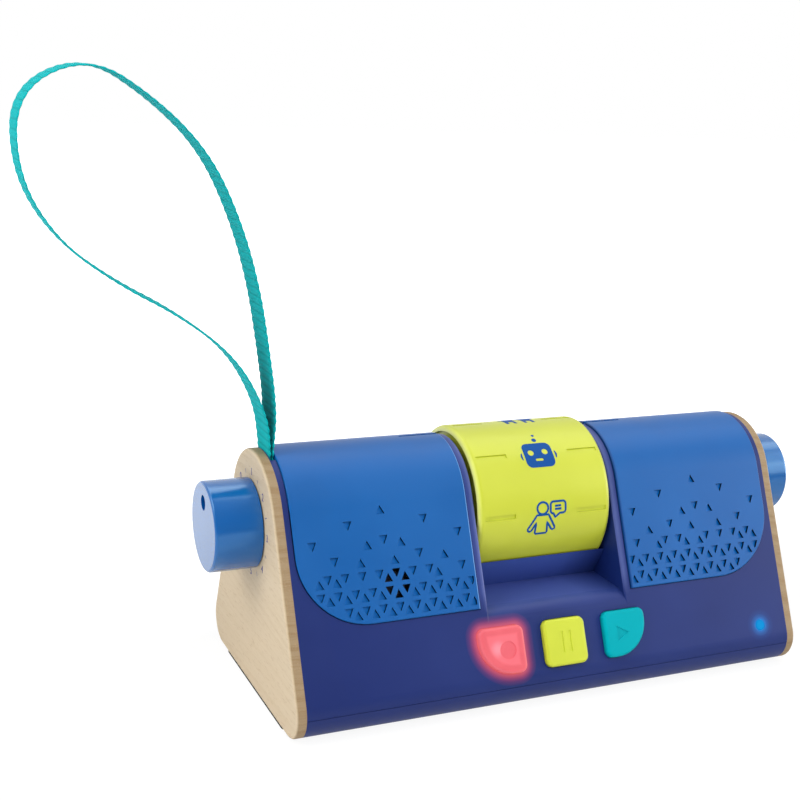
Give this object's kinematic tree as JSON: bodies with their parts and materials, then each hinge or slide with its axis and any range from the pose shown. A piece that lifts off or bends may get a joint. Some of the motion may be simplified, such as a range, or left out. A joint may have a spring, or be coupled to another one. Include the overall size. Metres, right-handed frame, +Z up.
{
  "type": "audio story player",
  "caption": "Tabletop audio story player: prism case between wooden ends, picture drum in a channel, side knobs, lit buttons and a woven carry loop.",
  "frame": {"origin": "on the table under the middle of the case", "axes": "+X to the right of someone facing the buttons, +Y to the back, +Z up; the drum, knobs and case run along X"},
  "size_m": [0.3334, 0.1131, 0.2422],
  "materials": {
    "indigo_plastic": "satin moulded",
    "blue_plastic": "satin moulded",
    "lime_plastic": "satin moulded",
    "knob_blue": "gloss lacquered",
    "beech_wood": "matt oiled",
    "rubber_pad": "matt",
    "red_translucent": "satin translucent, lit from behind",
    "lime_button": "satin moulded",
    "teal_button": "satin moulded",
    "teal_webbing": "woven polyester",
    "steel_screw": "zinc plated",
    "brass_shaft": "turned",
    "nickel_nut": "nickel plated",
    "speaker_steel": "stamped and coated",
    "aluminium_can": "drawn can",
    "black_plastic": "moulded",
    "white_acetal": "moulded",
    "green_board": "solder mask",
    "silicone": "translucent",
    "paper_cone": "pressed paper",
    "cell_sleeve": "shrink sleeve",
    "cyan_lens": "clear moulded",
    "lamp_red": "clear epoxy",
    "lamp_cyan": "clear epoxy"
  },
  "bodies": {
    "case": {"housing_shell": "indigo_plastic", "base_tray": "indigo_plastic", "drum_trough": "indigo_plastic", "base_screws": "steel_screw", "panel_screws_left": "steel_screw", "panel_screws_right": "steel_screw", "speaker_screws": "steel_screw", "board_screws": "steel_screw", "strap_screws": "steel_screw", "end_panel_left": "beech_wood", "end_panel_right": "beech_wood", "foot_pads": "rubber_pad", "cover_left": "blue_plastic", "cover_right": "blue_plastic", "drum_bushes": "white_acetal", "drum_encoder": "black_plastic", "number_switch": "black_plastic", "volume_control": "black_plastic", "shaft_nuts": "nickel_nut", "record_dome": "silicone", "pause_dome": "silicone", "play_dome": "silicone", "button_board": "green_board", "light_board": "green_board", "microphone_board": "green_board", "main_board": "green_board", "main_board_parts": "black_plastic", "record_lamps": "lamp_red", "power_light_lens": "cyan_lens", "power_lamp": "lamp_cyan", "microphone": "aluminium_can", "microphone_boot": "rubber_pad", "loudspeaker": "speaker_steel", "speaker_cone": "paper_cone", "speaker_gasket": "rubber_pad", "battery_box": "indigo_plastic", "battery_cells": "cell_sleeve", "battery_contacts": "nickel_nut", "battery_springs": "nickel_nut", "carry_loop": "teal_webbing", "strap_clamp": "indigo_plastic"},
    "drum": {"drum_shell": "lime_plastic", "drum_end_left": "lime_plastic", "drum_end_right": "lime_plastic", "drum_axle": "steel_screw"},
    "left_knob": {"knob_left": "knob_blue", "knob_shaft_left": "brass_shaft"},
    "right_knob": {"knob_right": "knob_blue", "knob_shaft_right": "brass_shaft"},
    "record_key": {"record_button": "red_translucent"},
    "pause_key": {"pause_button": "lime_button"},
    "play_key": {"play_button": "teal_button"},
    "battery_lid": {"battery_door": "indigo_plastic", "battery_door_screw": "steel_screw"}
  },
  "joints": [
    {"name": "drum_spin", "type": "hinge", "parent": "case", "child": "drum", "pos_m": [0, 0.00255, 0.0711], "axis": [1, 0, 0], "continuous": true},
    {"name": "left_knob_turn", "type": "hinge", "parent": "case", "child": "left_knob", "pos_m": [-0.115, 0.00255, 0.0711], "axis": [1, 0, 0], "range_deg": [-45, 225]},
    {"name": "right_knob_turn", "type": "hinge", "parent": "case", "child": "right_knob", "pos_m": [0.115, 0.00255, 0.0711], "axis": [1, 0, 0], "range_deg": [-135, 135]},
    {"name": "record_press", "type": "slide", "parent": "case", "child": "record_key", "axis": [0, 0.908, -0.419], "range_m": [0, 0.0015], "stiffness_N_per_m": 900, "springref_m": -0.0011, "deforming": ["record_dome"]},
    {"name": "pause_press", "type": "slide", "parent": "case", "child": "pause_key", "axis": [0, 0.908, -0.419], "range_m": [0, 0.0015], "stiffness_N_per_m": 900, "springref_m": -0.0011, "deforming": ["pause_dome"]},
    {"name": "play_press", "type": "slide", "parent": "case", "child": "play_key", "axis": [0, 0.908, -0.419], "range_m": [0, 0.0015], "stiffness_N_per_m": 900, "springref_m": -0.0011, "deforming": ["play_dome"]},
    {"name": "battery_lid_pull", "type": "slide", "parent": "case", "child": "battery_lid", "axis": [0, 0.9258, 0.3781], "range_m": [0, 0.03]}
  ]
}
